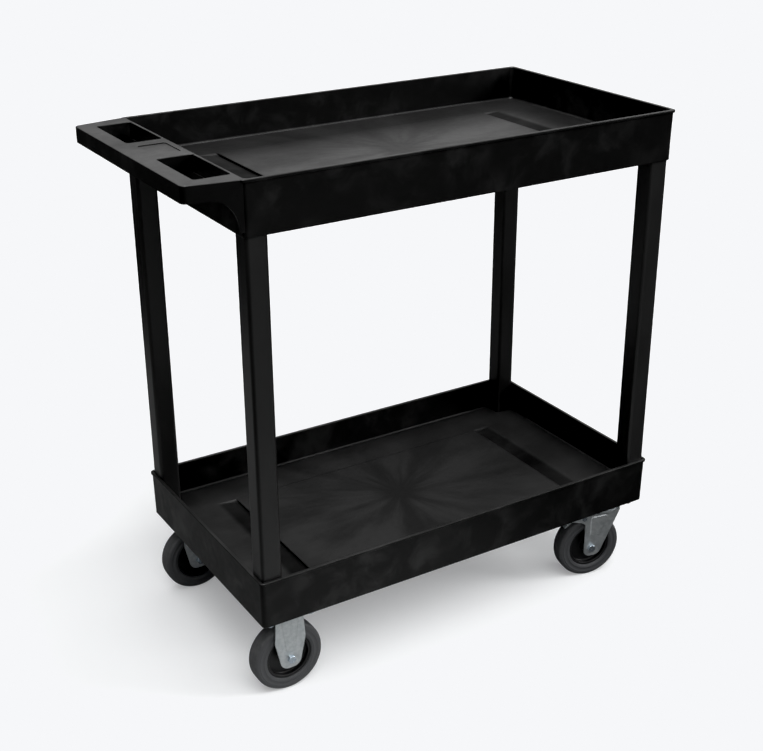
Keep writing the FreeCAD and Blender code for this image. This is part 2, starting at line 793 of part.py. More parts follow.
def swivel_balls():
    balls = []
    for i in range(ball_count):
        angle = 2 * math.pi * i / ball_count
        balls.append(Part.makeSphere(ball_radius, vec(ball_circle * math.cos(angle),
                                                      ball_circle * math.sin(angle), ball_level())))
    return Part.makeCompound(balls)


# ---- brake pedal
def pedal_spine():
    """Top edge of the pedal, pivot to tail, in the upright plane: level, then turned up."""
    top = pin_z + pedal_eye
    return [(pin_x - pedal_eye - pedal_overhang, top), (pin_x - pedal_bend, top),
            (pin_x - pedal_length, top + pedal_tail_rise)]


def pedal_shoe():
    """Shoe and its stem, drawn with the pedal down and then turned back to rest."""
    foot = wheel_radius + shoe_gap
    travel = math.radians(pedal_travel)
    x, z = foot_offset(foot)
    rest_z = pin_z - x * math.sin(travel) + z * math.cos(travel)
    web_height = pin_z + pedal_eye - pedal_sheet / 2
    back = math.radians(shoe_angle) - travel
    stem = (web_height - rest_z) / math.sin(back)
    wide = shoe_width / 2
    pad = Part.makeBox(shoe_sheet, shoe_width, shoe_length, vec(foot, -wide, -shoe_length / 2))
    bar = Part.makeBox(stem, shoe_width, shoe_sheet, vec(foot, -wide, -shoe_sheet / 2))
    shoe = fuse_all([pad, bar])
    shoe.rotate(vec(0, 0, 0), vec(0, -1, 0), shoe_angle)
    shoe.translate(vec(-swivel_trail, 0, wheel_radius))
    shoe.rotate(vec(pin_x, 0, pin_z), vec(0, 1, 0), pedal_travel)
    return shoe


def foot_offset(foot):
    """From the pivot to where the shoe meets the tyre with the pedal down."""
    angle = math.radians(shoe_angle)
    x = -swivel_trail + foot * math.cos(angle) - pin_x
    z = wheel_radius + foot * math.sin(angle) - pin_z
    return x, z


def brake_pedal():
    """Bent sheet pedal: two flanges on the pin, a web between them, tread ribs and the shoe."""
    inner = cheek_outer + pedal_side_gap
    outer = inner + pedal_sheet
    start, bend, tail = pedal_spine()
    low = pin_z - pedal_eye
    flange = [(pin_x + pedal_eye, low, pedal_eye - 1), (pin_x - pedal_eye, low, pedal_flange_corner),
              (bend[0], bend[1] - pedal_flange_drop, pedal_flange_round),
              (tail[0], tail[1] - pedal_tail_depth, pedal_tail_round), (tail[0], tail[1], pedal_tail_round),
              (bend[0], bend[1], pedal_bend_round), (pin_x + pedal_eye, start[1], pedal_eye - 1)]
    parts = [slab(flange, upright(y), vec(0, pedal_sheet, 0)) for y in (-outer, inner)]
    web = [(start[0], start[1], 0), (bend[0], bend[1], pedal_bend_round), (tail[0], tail[1], 0),
           (tail[0], tail[1] - pedal_sheet, 0), (bend[0], bend[1] - pedal_sheet, pedal_bend_round),
           (start[0], start[1] - pedal_sheet, 0)]
    parts.append(slab(web, upright(-outer), vec(0, 2 * outer, 0)))
    parts.append(pedal_shoe())
    tread_half = tread_rib_share * outer
    for i in range(tread_ribs):
        corner = vec(bend[0] + tread_start + i * tread_pitch, -tread_half, start[1] - tread_sink)
        parts.append(Part.makeBox(tread_rib_length, 2 * tread_half, tread_rib + tread_sink, corner))
    pedal = fuse_all(parts)
    return drilled_across(pedal, pin_x, pin_z, pin_radius + running_clearance)


def brake_pin():
    end = cheek_outer + 2 * pedal_side_gap + pedal_sheet
    parts = [crosswise_cylinder(pin_x, pin_z, pin_radius, -end, end)]
    for low in (-end - pin_head, end):
        parts.append(crosswise_cylinder(pin_x, pin_z, pin_head_radius, low, low + pin_head))
    return fuse_all(parts)


# ---- fasteners under the plates
def caster_screw(x, y):
    head = hexagon(hex_head)
    head.rotate(vec(0, 0, 0), vec(1, 0, 0), 180)
    seat = plate_bottom - washer_thickness
    head.translate(vec(x, y, seat))
    return head.fuse(upright_cylinder(x, y, screw_radius, seat, seat + screw_length)).removeSplitter()


def caster_washer(x, y):
    return ring(x, y, screw_radius + hole_clearance, washer_radius, plate_bottom - washer_thickness,
                plate_bottom)


def all_screw_places():
    return [place for x, y in caster_places() for place in screw_places(x, y)]


# ---- assembly
def on_corner(shape, x, side, turn):
    """Put a caster piece, drawn for the right side, at its corner and turn it about its swivel."""
    if side > 0:
        shape = shape.mirror(vec(0, 0, 0), vec(0, 1, 0))
    shape.rotate(vec(0, 0, 0), vec(0, 0, 1), turn)
    shape.translate(vec(x, side * caster_y, 0))
    return shape


def wheel_pieces(name, axle_x):
    return {"tyre_" + name: tyre(axle_x), "hub_" + name: hub(axle_x), "bushes_" + name: bushes(axle_x),
            "sleeve_" + name: sleeve(axle_x), "axle_" + name: axle_bolt(axle_x),
            "axle_nut_" + name: axle_nut(axle_x)}


def build():
    nodes = {"top_tray": top_tray(), "bottom_tray": bottom_tray()}
    for name, (x, y) in zip(("handle_right", "handle_left", "nose_right", "nose_left"), post_places()):
        nodes["post_" + name] = post(x, y)
    for side_name, side in SIDES.items():
        turn = swivel_rest_right if side < 0 else swivel_rest_left
        fixed = wheel_pieces("handle_" + side_name, 0)
        fixed["fixed_fork_" + side_name] = fixed_fork()
        still = {"swivel_plate_" + side_name: swivel_plate(), "kingpin_" + side_name: kingpin_solid(0)}
        turning = wheel_pieces("nose_" + side_name, -swivel_trail)
        turning["yoke_" + side_name] = yoke()
        turning["swivel_balls_" + side_name] = swivel_balls()
        turning["brake_pedal_" + side_name] = brake_pedal()
        turning["brake_pin_" + side_name] = brake_pin()
        for pieces, x, angle in ((fixed, handle_caster_x, 0), (still, nose_caster_x, 0),
                                 (turning, nose_caster_x, turn)):
            for name, shape in pieces.items():
                nodes[name] = on_corner(shape, x, side, angle)
    nodes["caster_screws"] = Part.makeCompound([caster_screw(x, y) for x, y in all_screw_places()])
    nodes["caster_washers"] = Part.makeCompound([caster_washer(x, y) for x, y in all_screw_places()])
    return nodes


os.makedirs("parts", exist_ok=True)
for node, shape in build().items():
    shape.exportStep("parts/" + node + ".step")
    print(node, shape.isValid(), len(shape.Solids), round(shape.Volume / 1000, 2), "cm3")
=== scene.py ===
import json
import math

import bpy
from mathutils import Euler, Matrix, Vector


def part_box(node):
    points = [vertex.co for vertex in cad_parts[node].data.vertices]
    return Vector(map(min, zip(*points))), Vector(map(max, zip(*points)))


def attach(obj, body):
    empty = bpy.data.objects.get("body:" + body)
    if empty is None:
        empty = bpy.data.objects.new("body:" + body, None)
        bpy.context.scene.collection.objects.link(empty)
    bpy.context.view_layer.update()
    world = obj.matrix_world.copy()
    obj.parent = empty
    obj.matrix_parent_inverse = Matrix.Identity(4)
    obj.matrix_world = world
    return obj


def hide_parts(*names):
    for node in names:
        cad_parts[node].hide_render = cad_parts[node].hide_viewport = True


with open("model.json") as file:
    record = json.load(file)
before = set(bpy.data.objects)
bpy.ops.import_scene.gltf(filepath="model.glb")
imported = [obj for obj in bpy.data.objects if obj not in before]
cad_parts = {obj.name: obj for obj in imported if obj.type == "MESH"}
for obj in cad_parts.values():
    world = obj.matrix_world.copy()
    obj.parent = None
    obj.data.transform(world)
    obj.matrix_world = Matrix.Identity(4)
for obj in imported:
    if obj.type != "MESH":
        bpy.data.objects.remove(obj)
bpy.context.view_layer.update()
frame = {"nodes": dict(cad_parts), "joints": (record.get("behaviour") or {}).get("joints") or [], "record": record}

# Rolling utility cart: black moulded trays and posts, zinc-plated casters, grey rubber tyres.
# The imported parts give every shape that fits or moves. This script adds the relief of the
# moulded tray floors, finer tyres and the finishes. Metres, +X away from the handle, +Z up.

MM = 0.001
NODES = frame["nodes"]
AXES = {joint["child"]: Vector(joint["axis"]).normalized() for joint in frame["joints"]}
WHEELS = [end + "_" + side for end in ("handle", "nose") for side in ("right", "left")]

# ---- camera
CAMERA_PLACE = (-1.1239, -1.8373, 1.3936)
CAMERA_AZIMUTH = 31.50        # degrees to the right of straight across the cart
CAMERA_ELEVATION = 24.02      # degrees that it looks down
CAMERA_ROLL = -0.33
CAMERA_LENS = 61.9            # millimetres, as is the sensor's width
CAMERA_SENSOR = 36

# ---- tray floors, as moulded
TRAY_DEPTH = 60.5 * MM        # from the rim down to the floor
PANEL_LENGTH = 545 * MM       # the raised middle of the floor
PANEL_WIDTH = 284 * MM
PANEL_RISE = 1.5 * MM
STEEP_RIB_REACH = 114.5 * MM  # where the steepest ribs leave the long side of the panel
TROUGH_START = 1 * MM         # the painted shade in the trough past each end of the panel: it starts this softly, is full this far out, gone here, and this far to each side, fading over this length
TROUGH_FULL = 28 * MM         # is full this far out,
TROUGH_GONE = 42 * MM         # gone here,
TROUGH_HALF = 142 * MM        # and this far to each side,
TROUGH_END = 4 * MM           # fading over this length
GATE_RADIUS = 15 * MM         # the smooth spot in the middle, where the melt came in,
GATE_FADE = 60 * MM           # and where the streaks round it are at their full strength
STREAK_TURNS = 2.0            # how finely the streaks divide the circle
STREAK_LENGTH = 220 * MM
RELIEF = {                    # inputs of the relief's tree, in metres
    "Length": PANEL_LENGTH - 0.2 * MM,
    "Width": PANEL_WIDTH - 0.2 * MM,
    "Corner": 5 * MM,
    "Step": 2.6 * MM,         # spacing of its mesh
    "Body": 1.0 * MM,         # how far the slab reaches down into the panel
    "Lift": 0.16 * MM,        # how far it stands over the plain panel
    "Sink Depth": 0.14 * MM,  # where the melt shrank over the ribs below
    "Sink Width": 4.0 * MM,
    "Wave Depth": 0.10 * MM,
    "Wave Size": 55 * MM,
    "Edge Run": 2.5 * MM,     # the rounding of its rim
    "Edge Drop": 0.25 * MM,
    "Corner Run": 2 * MM,     # what lies past the rounded corners goes down out of sight
    "Corner Drop": 3 * MM,
}

# ---- tyres
TYRE_RADIUS = 63.5 * MM
TYRE_INNER = 42 * MM
TYRE_WIDTH = 31 * MM
TYRE_SHOULDER = 6.5 * MM
SHOULDER_STEPS = 8            # to a quarter turn
BEAD = 0.8 * MM               # bevel where the tyre meets the wheel centre
RING_PLACES = (TYRE_INNER + 5 * MM, TYRE_RADIUS - TYRE_SHOULDER - 2.2 * MM)
RING_FOOT = 0.9 * MM          # half of a fine ring's width on the side wall,
RING_TOP = 0.4 * MM           # half of the width of its top,
RING_PROUD = 0.35 * MM        # and its height
SHOULDER_DROP = 0.25 * MM     # how far the tread's crown falls by the shoulder
CROWN_DROP = 0.12 * MM        # by half way there
PARTING_DROP = 0.05 * MM      # and beside the parting line of the mould
PARTING_FOOT = 0.5 * MM
PARTING_TOP = 0.25 * MM
TREAD_DEPTH = 4 * MM          # what rolls and gets dusty starts this far in,
TREAD_FULL = 0.5 * MM         # and is at its full strength from here
TYRE_SEGMENTS = 144
TYRE_SHARP = math.radians(50)

# ---- studio
PALE = "f6f7f9"
WHITE = "ffffff"
FLOOR_REACH = 40
FLOOR_PAINT = "e6e7e8"
FLOOR_GLOW = 0.28
FLOOR_FAR = "3a3a3a"                   # what the floor throws back at things, dimmer than the tone it shows, and painted pools of light and shade where it throws more or less: place, full within, gone past
PAINTED_LIGHT_POOLS = [                        # and where it throws more or less: place, full within, gone past
    ((-1.0, 2.0, 0.0), 0.5, 0.9, "0a0a0a"),
    ((0.8, -3.0, 0.0), 0.4, 1.2, "a4a5a5"),
    ((0.2, -1.5, 0.0), 0.4, 1.1, "8a8b8b"),
    ((-0.75, 0.6, 0.0), 0.5, 1.0, "8a8b8b"),
    ((-0.15, -0.35, 0.0), 0.25, 0.6, "b4b5b5"),
]
GLOW_LOW = (0.0, 0.30, 0.02, 0.19)     # glow of the surround: from and to what rise, between what strengths
GLOW_FADE = (0.42, 0.65, 1.0, 0.25)    # what the first is multiplied by, higher up
GLOW_HIGH = (0.70, 0.98, 0.0, 1.6)
LAMPS = [                              # name, where it shines from, strength, spread, on dull surfaces too
    ("overhead_gloss", (0.0, 0.0, 1.0), 4.0, 26, False),
    ("front_key", (-0.1, -0.62, 0.8), 1.5, 50, True),
    ("right_side", (0.8, -0.5, 0.5), 1.25, 22, True),
]
PANEL_PLACE = (0.46, 0.92, 1.27)       # of the glossy panel behind and above
PANEL_AIM = (-0.02, 0.0, 0.9)
PANEL_SIZE = (1.9, 0.45)
PANEL_POWER = 2.3
BLACK_POINT = 0.0035


# ---- small helpers
def srgb(code, alpha=1.0):
    """An sRGB hex colour as the linear values that Blender wants."""
    values = [int(code[i:i + 2], 16) / 255 for i in (0, 2, 4)]
    linear = [v / 12.92 if v <= 0.04045 else ((v + 0.055) / 1.055) ** 2.4 for v in values]
    return (*linear, alpha)


def add(tree, kind, inputs=(), **settings):
    """Add a node with its settings. Inputs go by order or by name: each is a value, a hex
    colour, a socket, or a node, whose first output is then linked."""
    node = tree.nodes.new(kind)
    for key, value in settings.items():
        setattr(node, key, value)
    sockets = [s for s in node.inputs if s.enabled]
    pairs = inputs.items() if isinstance(inputs, dict) else enumerate(inputs)
    for key, value in pairs:
        socket = sockets[key] if isinstance(key, int) else next(s for s in sockets if s.name == key)
        if isinstance(value, bpy.types.Node):
            value = next(s for s in value.outputs if s.enabled)
        if isinstance(value, bpy.types.NodeSocket):
            tree.links.new(value, socket)
        elif value is not None:
            socket.default_value = srgb(value) if isinstance(value, str) else value
    return node


def placed_in_scene(name, data):
    """A new object with this mesh, light or camera."""
    piece = bpy.data.objects.new(name, data)
    bpy.context.scene.collection.objects.link(piece)
    return piece


# ---- patterns that several finishes share
def blotches(tree, place, size, detail=2.0, stretch=(1, 1, 1), roughness=0.5):
    """Smooth blotches about this many metres across, 0 to 1 round a mean of a half."""
    spread = add(tree, "ShaderNodeVectorMath", [place, [1 / (size * s) for s in stretch]],
                 operation="MULTIPLY")
    return add(tree, "ShaderNodeTexNoise",
               {"Vector": spread, "Scale": 1.0, "Detail": detail, "Roughness": roughness})


def flow_streaks(tree, place):
    """Streaks that fan out from the gate in the middle of a tray floor, where the melt came in."""
    level = add(tree, "ShaderNodeVectorMath", [place, (1, 1, 0)], operation="MULTIPLY")
    away = add(tree, "ShaderNodeVectorMath", [level], operation="NORMALIZE")
    reach = add(tree, "ShaderNodeVectorMath", [level], operation="LENGTH")
    lengths = add(tree, "ShaderNodeMath", [reach, 1 / STREAK_LENGTH], operation="MULTIPLY")
    along = add(tree, "ShaderNodeCombineXYZ", {"Z": lengths})
    fan = add(tree, "ShaderNodeVectorMath", [away, (STREAK_TURNS, STREAK_TURNS, 0), along],
              operation="MULTIPLY_ADD")
    noise = add(tree, "ShaderNodeTexNoise",
                {"Vector": fan, "Scale": 1.0, "Detail": 4.0, "Roughness": 0.55})
    streaks = add(tree, "ShaderNodeMapRange", [noise, 0.36, 0.66], interpolation_type="SMOOTHSTEP")
    past_gate = add(tree, "ShaderNodeMapRange", [reach, GATE_RADIUS, GATE_FADE],
                    interpolation_type="SMOOTHSTEP")
    return add(tree, "ShaderNodeMath", [streaks, past_gate], operation="MULTIPLY")


def trough_shade_mask(tree, place):
    """Where shade is painted: 1 in the troughs past the two ends of a floor's panel, 0 elsewhere."""
    folded = add(tree, "ShaderNodeVectorMath", [place], operation="ABSOLUTE")
    sides = add(tree, "ShaderNodeSeparateXYZ", [folded]).outputs
    end = PANEL_LENGTH / 2
    mask = add(tree, "ShaderNodeMapRange", [sides["X"], end - TROUGH_START, end + TROUGH_START],
               interpolation_type="SMOOTHSTEP")
    for side, full, gone in (("X", end + TROUGH_FULL, end + TROUGH_GONE),
                             ("Y", TROUGH_HALF - TROUGH_END, TROUGH_HALF)):
        within = add(tree, "ShaderNodeMapRange", [sides[side], full, gone, 1.0, 0.0],
                     interpolation_type="SMOOTHSTEP")
        mask = add(tree, "ShaderNodeMath", [mask, within], operation="MULTIPLY")
    return mask


# ---- finishes
def finish(name, **values):
    """A new material with a Principled shader: (material, tree, shader)."""
    material = bpy.data.materials.new(name)
    material.use_nodes = True
    tree = material.node_tree
    tree.nodes.clear()
    shader = add(tree, "ShaderNodeBsdfPrincipled", {key.replace("_", " "): v for key, v in values.items()})
    add(tree, "ShaderNodeOutputMaterial", [shader])
    return material, tree, shader


def vary(tree, shader, colour, rough, *heights):
    """Link a colour and a roughness, and bumps from (height field, depth in metres) pairs."""
    tree.links.new(colour.outputs["Result"], shader.inputs["Base Color"])
    tree.links.new(rough.outputs[0], shader.inputs["Roughness"])
    normal = None
    for height, depth in heights:
        normal = add(tree, "ShaderNodeBump", {"Height": height, "Distance": depth, "Normal": normal})
    if normal:
        tree.links.new(normal.outputs["Normal"], shader.inputs["Normal"])


def tray_plastic():
    """High-density polyethylene, moulded as structural foam: near black, a soft sheen that the
    melt's flow leaves uneven. Pale streaks fan out over the floors, pale clouds swirl on the walls,
    and the troughs get painted shade: they are rougher and reflect less."""
    material, tree, shader = finish("moulded_foam_hdpe", IOR=1.53)
    raw = add(tree, "ShaderNodeTexCoord").outputs["Object"]
    place = add(tree, "ShaderNodeMapping", {"Vector": raw, "Location": (-tray_centre.x, 0, 0)})
    normal = add(tree, "ShaderNodeNewGeometry").outputs["Normal"]
    facing_up = add(tree, "ShaderNodeSeparateXYZ", [normal]).outputs["Z"]
    level = add(tree, "ShaderNodeMapRange", [facing_up, 0.7, 0.95], interpolation_type="SMOOTHSTEP")
    upright = add(tree, "ShaderNodeMath", [1.0, level], operation="SUBTRACT")
    fan = add(tree, "ShaderNodeMath", [flow_streaks(tree, place), level], operation="MULTIPLY")

    drift = blotches(tree, place, size=90 * MM).outputs["Color"]
    warp = add(tree, "ShaderNodeVectorMath", [drift, (0.10, 0.10, 0.10), place], operation="MULTIPLY_ADD")
    swirl = add(tree, "ShaderNodeMapRange",
                [blotches(tree, warp, size=60 * MM, detail=4.0, roughness=0.55), 0.42, 0.72],
                interpolation_type="SMOOTHSTEP")
    cloud = add(tree, "ShaderNodeMapRange", [blotches(tree, place, size=160 * MM, detail=3.0), 0.38, 0.60],
                interpolation_type="SMOOTHSTEP")
    swirl = add(tree, "ShaderNodeMath", [swirl, cloud], operation="MULTIPLY")
    swirl = add(tree, "ShaderNodeMath", [swirl, upright], operation="MULTIPLY")
    pale = add(tree, "ShaderNodeMath", [fan, swirl], operation="ADD")
    # painted shade in the troughs: a rougher finish and a reflection cut to a quarter
    trough_shade = add(tree, "ShaderNodeMath", [trough_shade_mask(tree, place), level], operation="MULTIPLY")

    colour = add(tree, "ShaderNodeMix", [pale, "080808", "1c1c1c"], data_type="RGBA")
    shine = add(tree, "ShaderNodeMapRange", [pale, 0.0, 1.0, 0.26, 0.42])
    trough_shade_dimming = add(tree, "ShaderNodeMapRange", [trough_shade, 0.0, 1.0, 1.0, 0.25])
    shine = add(tree, "ShaderNodeMath", [shine, trough_shade_dimming], operation="MULTIPLY")
    tree.links.new(shine.outputs[0], shader.inputs["Specular IOR Level"])
    grain = blotches(tree, place, size=1.1 * MM, detail=3.0)
    mottle = blotches(tree, place, size=14 * MM, detail=2.0)
    rough = add(tree, "ShaderNodeMapRange", [pale, 0.0, 1.0, 0.38, 0.32])
    rough = add(tree, "ShaderNodeMath", [trough_shade, 0.35, rough], operation="MULTIPLY_ADD")
    rough = add(tree, "ShaderNodeMath", [mottle, 0.12, rough], operation="MULTIPLY_ADD")
    vary(tree, shader, colour, rough, (grain, 0.05 * MM), (mottle, 0.12 * MM))
    return material


def post_plastic():
    """Polyethylene posts: the same black with a finer grain and faint lines drawn along their length."""
    material, tree, shader = finish("drawn_hdpe_posts", Specular_IOR_Level=0.6, IOR=1.53)
    place = add(tree, "ShaderNodeTexCoord").outputs["Object"]
    lines = blotches(tree, place, size=2.2 * MM, detail=3.0, stretch=(1, 1, 60))
    cloud = blotches(tree, place, size=60 * MM, detail=3.0, stretch=(1, 1, 3))
    grain = blotches(tree, place, size=0.9 * MM, detail=2.0)
    pale = add(tree, "ShaderNodeMapRange", [cloud, 0.35, 0.7], interpolation_type="SMOOTHSTEP")
    colour = add(tree, "ShaderNodeMix", [pale, "0c0c0c", "141414"], data_type="RGBA")
    rough = add(tree, "ShaderNodeMath", [cloud, 0.16, 0.34], operation="MULTIPLY_ADD")
    vary(tree, shader, colour, rough, (lines, 0.03 * MM), (grain, 0.04 * MM))
    return material


def tyre_rubber():
    """Thermoplastic rubber: mid grey, matt, a little paler and duller where it rolls."""
    material, tree, shader = finish("thermoplastic_rubber", IOR=1.5)
    place = add(tree, "ShaderNodeTexCoord").outputs["Object"]
    radius = add(tree, "ShaderNodeAttribute", attribute_name="radius").outputs["Fac"]
    tread = add(tree, "ShaderNodeMapRange", [radius, TYRE_RADIUS - TREAD_DEPTH, TYRE_RADIUS - TREAD_FULL],
                interpolation_type="SMOOTHSTEP")
    dust = add(tree, "ShaderNodeMapRange", [blotches(tree, place, size=9 * MM, detail=4.0), 0.3, 0.7],
               interpolation_type="SMOOTHSTEP")
    dust = add(tree, "ShaderNodeMath", [tread, dust], operation="MULTIPLY")
    colour = add(tree, "ShaderNodeMix", [dust, "424345", "545556"], data_type="RGBA")
    rough = add(tree, "ShaderNodeMath", [dust, 0.2, 0.52], operation="MULTIPLY_ADD")
    grain = blotches(tree, place, size=0.8 * MM, detail=3.0)
    ripple = blotches(tree, place, size=6 * MM, detail=2.0)
    vary(tree, shader, colour, rough, (grain, 0.05 * MM), (ripple, 0.08 * MM))
    return material


def hub_plastic():
    """Moulded polypropylene wheel centres: black, satin, with a fine spark-eroded grain."""
    material, tree, shader = finish("moulded_polypropylene", IOR=1.49)
    place = add(tree, "ShaderNodeTexCoord").outputs["Object"]
    cloud = blotches(tree, place, size=12 * MM, detail=3.0)
    grain = blotches(tree, place, size=0.7 * MM, detail=2.0)
    colour = add(tree, "ShaderNodeMix", [cloud, "0d0d0e", "1a1a1b"], data_type="RGBA")
    rough = add(tree, "ShaderNodeMath", [cloud, 0.2, 0.36], operation="MULTIPLY_ADD")
    vary(tree, shader, colour, rough, (grain, 0.03 * MM))
    return material


def zinc_steel():
    """Pressed steel, bright zinc plated: cool pale grey, satin, faintly clouded by the bath."""
    material, tree, shader = finish("zinc_plated_pressing", Metallic=1.0)
    place = add(tree, "ShaderNodeTexCoord").outputs["Object"]
    cloud = blotches(tree, place, size=9 * MM, detail=4.0, roughness=0.6)
    grain = blotches(tree, place, size=0.9 * MM, detail=3.0)
    dents = blotches(tree, place, size=11 * MM, detail=1.0)
    pale = add(tree, "ShaderNodeMapRange", [cloud, 0.3, 0.7], interpolation_type="SMOOTHSTEP")
    colour = add(tree, "ShaderNodeMix", [pale, "c3c9cb", "d9dddf"], data_type="RGBA")
    rough = add(tree, "ShaderNodeMath", [cloud, 0.22, 0.40], operation="MULTIPLY_ADD")
    vary(tree, shader, colour, rough, (grain, 0.03 * MM), (dents, 0.10 * MM))
    return material


def bolt_steel():
    """Turned and headed steel, blue-bright zinc: glossier than the pressings and bluer."""
    material, tree, shader = finish("blue_bright_zinc_fasteners", Metallic=1.0)
    place = add(tree, "ShaderNodeTexCoord").outputs["Object"]
    cloud = blotches(tree, place, size=3 * MM, detail=3.0)
    grain = blotches(tree, place, size=0.5 * MM, detail=2.0)
    colour = add(tree, "ShaderNodeMix", [cloud, "a9b8c6", "d8e0e6"], data_type="RGBA")
    rough = add(tree, "ShaderNodeMath", [cloud, 0.18, 0.16], operation="MULTIPLY_ADD")
    vary(tree, shader, colour, rough, (grain, 0.02 * MM))
    return material


def bearing_steel():
    """Hardened balls under a film of grease: dark, mirror-like, with a warm smear."""
    material, tree, shader = finish("greased_ball_steel", Metallic=1.0)
    place = add(tree, "ShaderNodeTexCoord").outputs["Object"]
    smear = add(tree, "ShaderNodeMapRange", [blotches(tree, place, size=3 * MM, detail=3.0), 0.4, 0.65],
                interpolation_type="SMOOTHSTEP")
    colour = add(tree, "ShaderNodeMix", [smear, "b4b6b8", "8d8468"], data_type="RGBA")
    rough = add(tree, "ShaderNodeMath", [smear, 0.3, 0.08], operation="MULTIPLY_ADD")
    vary(tree, shader, colour, rough)
    return material


def bush_plastic():
    """Acetal bushes: off-white, smooth and slightly waxy."""
    material, tree, shader = finish("turned_acetal", IOR=1.48)
    place = add(tree, "ShaderNodeTexCoord").outputs["Object"]
    cloud = blotches(tree, place, size=4 * MM, detail=2.0)
    grain = blotches(tree, place, size=0.6 * MM, detail=1.0)
    colour = add(tree, "ShaderNodeMix", [cloud, "cfcdc4", "e2e0d8"], data_type="RGBA")
    rough = add(tree, "ShaderNodeMath", [cloud, 0.2, 0.3], operation="MULTIPLY_ADD")
    vary(tree, shader, colour, rough, (grain, 0.01 * MM))
    return material


# ---- relief of the tray floors
def relief_tree():
    """Geometry Nodes: a slab over the floor panel, its top sunk along the ribs below and waved."""
    tree = bpy.data.node_groups.new("moulded_floor_relief", "GeometryNodeTree")
    for name in (*RELIEF, "Level"):
        tree.interface.new_socket(name=name, in_out="INPUT", socket_type="NodeSocketFloat")
    tree.interface.new_socket(name="Gate", in_out="INPUT", socket_type="NodeSocketVector")
    tree.interface.new_socket(name="Finish", in_out="INPUT", socket_type="NodeSocketMaterial")
    tree.interface.new_socket(name="Geometry", in_out="OUTPUT", socket_type="NodeSocketGeometry")
    given = add(tree, "NodeGroupInput").outputs

    # a plain slab
    size = add(tree, "ShaderNodeCombineXYZ", [given["Length"], given["Width"], given["Body"]])
    counts = [add(tree, "ShaderNodeMath", [given[side], given["Step"]], operation="DIVIDE")
              for side in ("Length", "Width")]
    slab = add(tree, "GeometryNodeMeshCube", [size, *counts, 2])
    point = add(tree, "GeometryNodeInputPosition")
    folded = add(tree, "ShaderNodeVectorMath", [point], operation="ABSOLUTE")
    folded = add(tree, "ShaderNodeVectorMath", [folded, (1, 1, 0)], operation="MULTIPLY")

    # how far each point lies outside the panel's outline with its round corners
    half = add(tree, "ShaderNodeVectorMath", [size, (0.5, 0.5, 0)], operation="MULTIPLY")
    corner = add(tree, "ShaderNodeCombineXYZ", {"X": given["Corner"], "Y": given["Corner"]})
    core = add(tree, "ShaderNodeVectorMath", [half, corner], operation="SUBTRACT")
    past = add(tree, "ShaderNodeVectorMath", [folded, core], operation="SUBTRACT")
    outward = add(tree, "ShaderNodeVectorMath", [past, (0, 0, 0)], operation="MAXIMUM")
    outward = add(tree, "ShaderNodeVectorMath", [outward], operation="LENGTH")
    outside = add(tree, "ShaderNodeMath", [outward, given["Corner"]], operation="SUBTRACT")

    # how deep the melt sank over the ribs that run out from the middle
    ways = [(1, 0), (0, 1), (PANEL_LENGTH, PANEL_WIDTH / 2), (PANEL_LENGTH, PANEL_WIDTH),
            (STEEP_RIB_REACH, PANEL_WIDTH / 2)]
    sink = None
    for x, y in ways:
        off = add(tree, "ShaderNodeVectorMath", [folded, Vector((-y, x, 0)).normalized()],
                  operation="DOT_PRODUCT")
        off = add(tree, "ShaderNodeMath", [off.outputs["Value"], given["Sink Width"]], operation="DIVIDE")
        square = add(tree, "ShaderNodeMath", [off, off], operation="MULTIPLY")
        fall = add(tree, "ShaderNodeMath", [square, -1.0], operation="MULTIPLY")
        dip = add(tree, "ShaderNodeMath", [fall], operation="EXPONENT")
        sink = add(tree, "ShaderNodeMath", [sink, dip], operation="MAXIMUM") if sink else dip

    # the top's height: lift and waves, less the sink lines, the round rim and the cut corners
    scale = add(tree, "ShaderNodeMath", [1.0, given["Wave Size"]], operation="DIVIDE")
    shifted = add(tree, "ShaderNodeVectorMath", [point, given["Gate"]], operation="ADD")
    wave = add(tree, "ShaderNodeTexNoise", {"Vector": shifted, "Scale": scale, "Detail": 2.0})
    wave = add(tree, "ShaderNodeMath", [wave, 0.5], operation="SUBTRACT")
    height = add(tree, "ShaderNodeMath", [wave, given["Wave Depth"], given["Lift"]],
                 operation="MULTIPLY_ADD")
    sunk = add(tree, "ShaderNodeMath", [sink, given["Sink Depth"]], operation="MULTIPLY")
    inside = add(tree, "ShaderNodeMath", [given["Edge Run"], -1.0], operation="MULTIPLY")
    rounded = add(tree, "ShaderNodeMapRange", [outside, inside, 0.0, 0.0, given["Edge Drop"]],
                  interpolation_type="SMOOTHSTEP")
    beyond = add(tree, "ShaderNodeMapRange",
                 [outside, 0.0, given["Corner Run"], 0.0, given["Corner Drop"]],
                 interpolation_type="SMOOTHSTEP")
    for lowering in (sunk, rounded, beyond):
        height = add(tree, "ShaderNodeMath", [height, lowering], operation="SUBTRACT")

    # raise the top, seat the slab on the floor and finish it
    above = add(tree, "ShaderNodeSeparateXYZ", [point]).outputs["Z"]
    on_top = add(tree, "FunctionNodeCompare", {"A": above, "B": 0.0}, operation="GREATER_THAN",
                 data_type="FLOAT")
    offset = add(tree, "ShaderNodeCombineXYZ", {"Z": height})
    raised = add(tree, "GeometryNodeSetPosition", {"Geometry": slab, "Selection": on_top, "Offset": offset})
    middle = add(tree, "ShaderNodeMath", [given["Body"], -0.5, given["Level"]], operation="MULTIPLY_ADD")
    seat = add(tree, "ShaderNodeCombineXYZ", {"Z": middle})
    seat = add(tree, "ShaderNodeVectorMath", [given["Gate"], seat], operation="ADD")
    placed = add(tree, "GeometryNodeTransform", {"Geometry": raised, "Translation": seat})
    smooth = add(tree, "GeometryNodeSetShadeSmooth", {"Geometry": placed, "Shade Smooth": True})
    real = add(tree, "GeometryNodeRealizeInstances", {"Geometry": smooth})
    finished = add(tree, "GeometryNodeSetMaterial", {"Geometry": real, "Material": given["Finish"]})
    add(tree, "NodeGroupOutput", [finished])
    return tree


